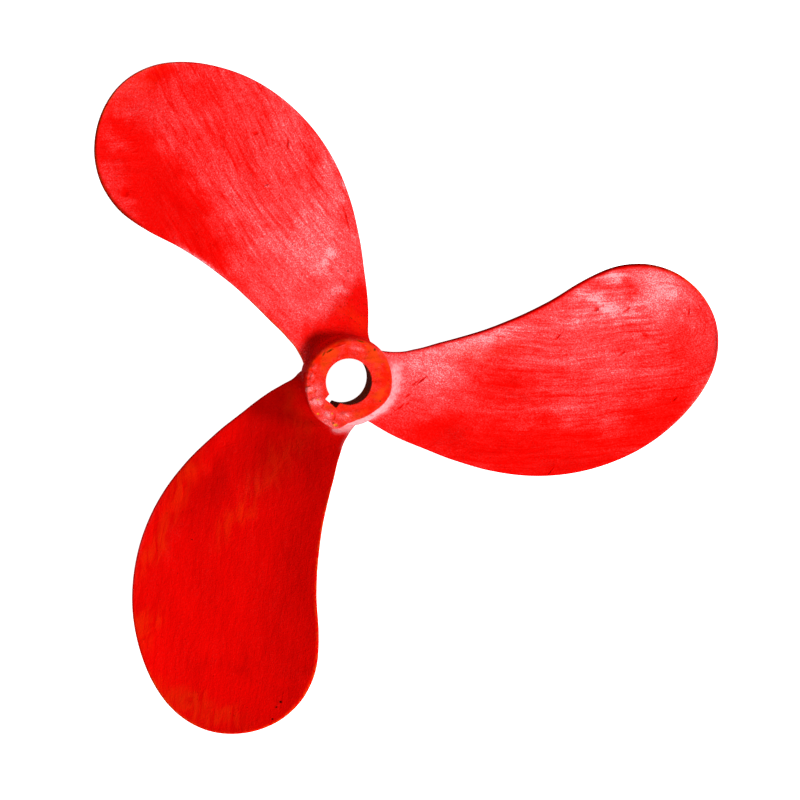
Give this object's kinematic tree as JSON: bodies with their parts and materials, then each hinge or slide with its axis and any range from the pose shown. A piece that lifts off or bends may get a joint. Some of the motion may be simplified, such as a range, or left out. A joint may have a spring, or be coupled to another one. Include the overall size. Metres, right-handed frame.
{
  "type": "ship propeller",
  "caption": "Fixed-pitch marine screw propeller cast in one piece, with broad flat blades on a short hub, a tapered keyed shaft bore and worn red paint.",
  "frame": {"origin": "centre of mass, on the shaft axis, 37 mm aft of the hub's fore face", "axes": "+Z aft along the shaft axis, out of the narrow end of the bore; +Y opposite the keyway; +X completes a right-handed frame, with one blade's generator line 30 degrees from it towards +Y"},
  "size_m": [0.7839, 0.7878, 0.0842],
  "materials": {
    "painted_casting": "brush-painted red over cast bronze, with streaks, pits and worn edges"
  },
  "bodies": {
    "root": {"propeller": "painted_casting"}
  },
  "joints": []
}
